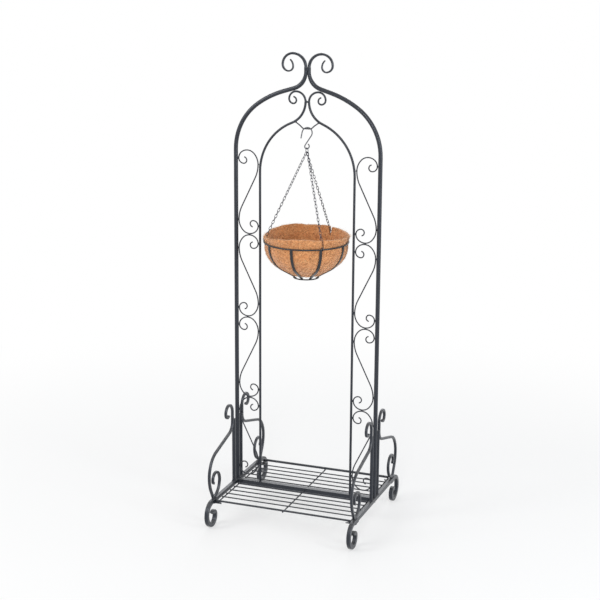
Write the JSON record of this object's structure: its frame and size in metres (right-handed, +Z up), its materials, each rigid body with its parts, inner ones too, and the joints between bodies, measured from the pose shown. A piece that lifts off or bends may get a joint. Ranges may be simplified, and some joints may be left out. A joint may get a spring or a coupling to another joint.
{
  "type": "hanging plant stand",
  "caption": "Freestanding metal plant stand with a scrolled double arch, a slatted shelf on curled feet and a lined wire basket that hangs on chains from a hook.",
  "frame": {"origin": "on the floor under the middle of the stand, at the bottom centre of its bounding box", "axes": "+Z up, X across the arch, -Y towards the front of the shelf"},
  "size_m": [0.545, 0.5702, 1.6649],
  "materials": {
    "frame_paint": "satin black powder coat",
    "basket_wire": "satin black powder coat",
    "hook_steel": "grey paint over bent wire",
    "chain_steel": "zinc plated, dulled",
    "fasteners": "zinc plated, dulled",
    "coir": "matted coconut fibre"
  },
  "bodies": {
    "root": {"outer_arch_left": "frame_paint", "outer_arch_right": "frame_paint", "inner_arch_left": "frame_paint", "inner_arch_right": "frame_paint", "scroll_left_1": "frame_paint", "scroll_left_2": "frame_paint", "scroll_left_3": "frame_paint", "scroll_left_4": "frame_paint", "scroll_right_1": "frame_paint", "scroll_right_2": "frame_paint", "scroll_right_3": "frame_paint", "scroll_right_4": "frame_paint", "scroll_tabs": "frame_paint", "arch_welds": "frame_paint", "hanger_wire": "frame_paint", "crossbar": "frame_paint", "side_rail_left": "frame_paint", "side_rail_right": "frame_paint", "upright_left_front": "frame_paint", "upright_left_rear": "frame_paint", "upright_right_front": "frame_paint", "upright_right_rear": "frame_paint", "brace_left_front": "frame_paint", "brace_left_rear": "frame_paint", "brace_right_front": "frame_paint", "brace_right_rear": "frame_paint", "rail_scroll_left_front": "frame_paint", "rail_scroll_left_rear": "frame_paint", "rail_scroll_right_front": "frame_paint", "rail_scroll_right_rear": "frame_paint", "post_bolts": "fasteners", "shelf_front_rail": "frame_paint", "shelf_rear_rail": "frame_paint", "shelf_side_bars_left": "frame_paint", "shelf_side_bars_right": "frame_paint", "shelf_slats_front": "frame_paint", "shelf_slats_rear": "frame_paint", "shelf_middle_bars": "frame_paint", "corner_plates": "frame_paint", "corner_bolts": "fasteners"},
    "hook": {"s_hook": "hook_steel"},
    "ring": {"gather_ring": "chain_steel"},
    "basket": {"chain_front": "chain_steel", "chain_left": "chain_steel", "chain_right": "chain_steel", "basket_ring": "basket_wire", "basket_ribs": "basket_wire", "basket_base_ring": "basket_wire", "coir_liner": "coir"}
  },
  "joints": [
    {"name": "hook_swing", "type": "hinge", "parent": "root", "child": "hook", "pos_m": [0, 0, 1.40622], "axis": [1, 0, 0], "range_deg": [-25, 25]},
    {"name": "ring_turn", "type": "hinge", "parent": "hook", "child": "ring", "pos_m": [0, 0, 1.34092], "axis": [0, 0, 1], "range_deg": [-30, 30]},
    {"name": "basket_sway", "type": "hinge", "parent": "ring", "child": "basket", "pos_m": [0, 0, 1.33192], "axis": [0.7071, 0.7071, 0], "range_deg": [-3, 3]}
  ]
}
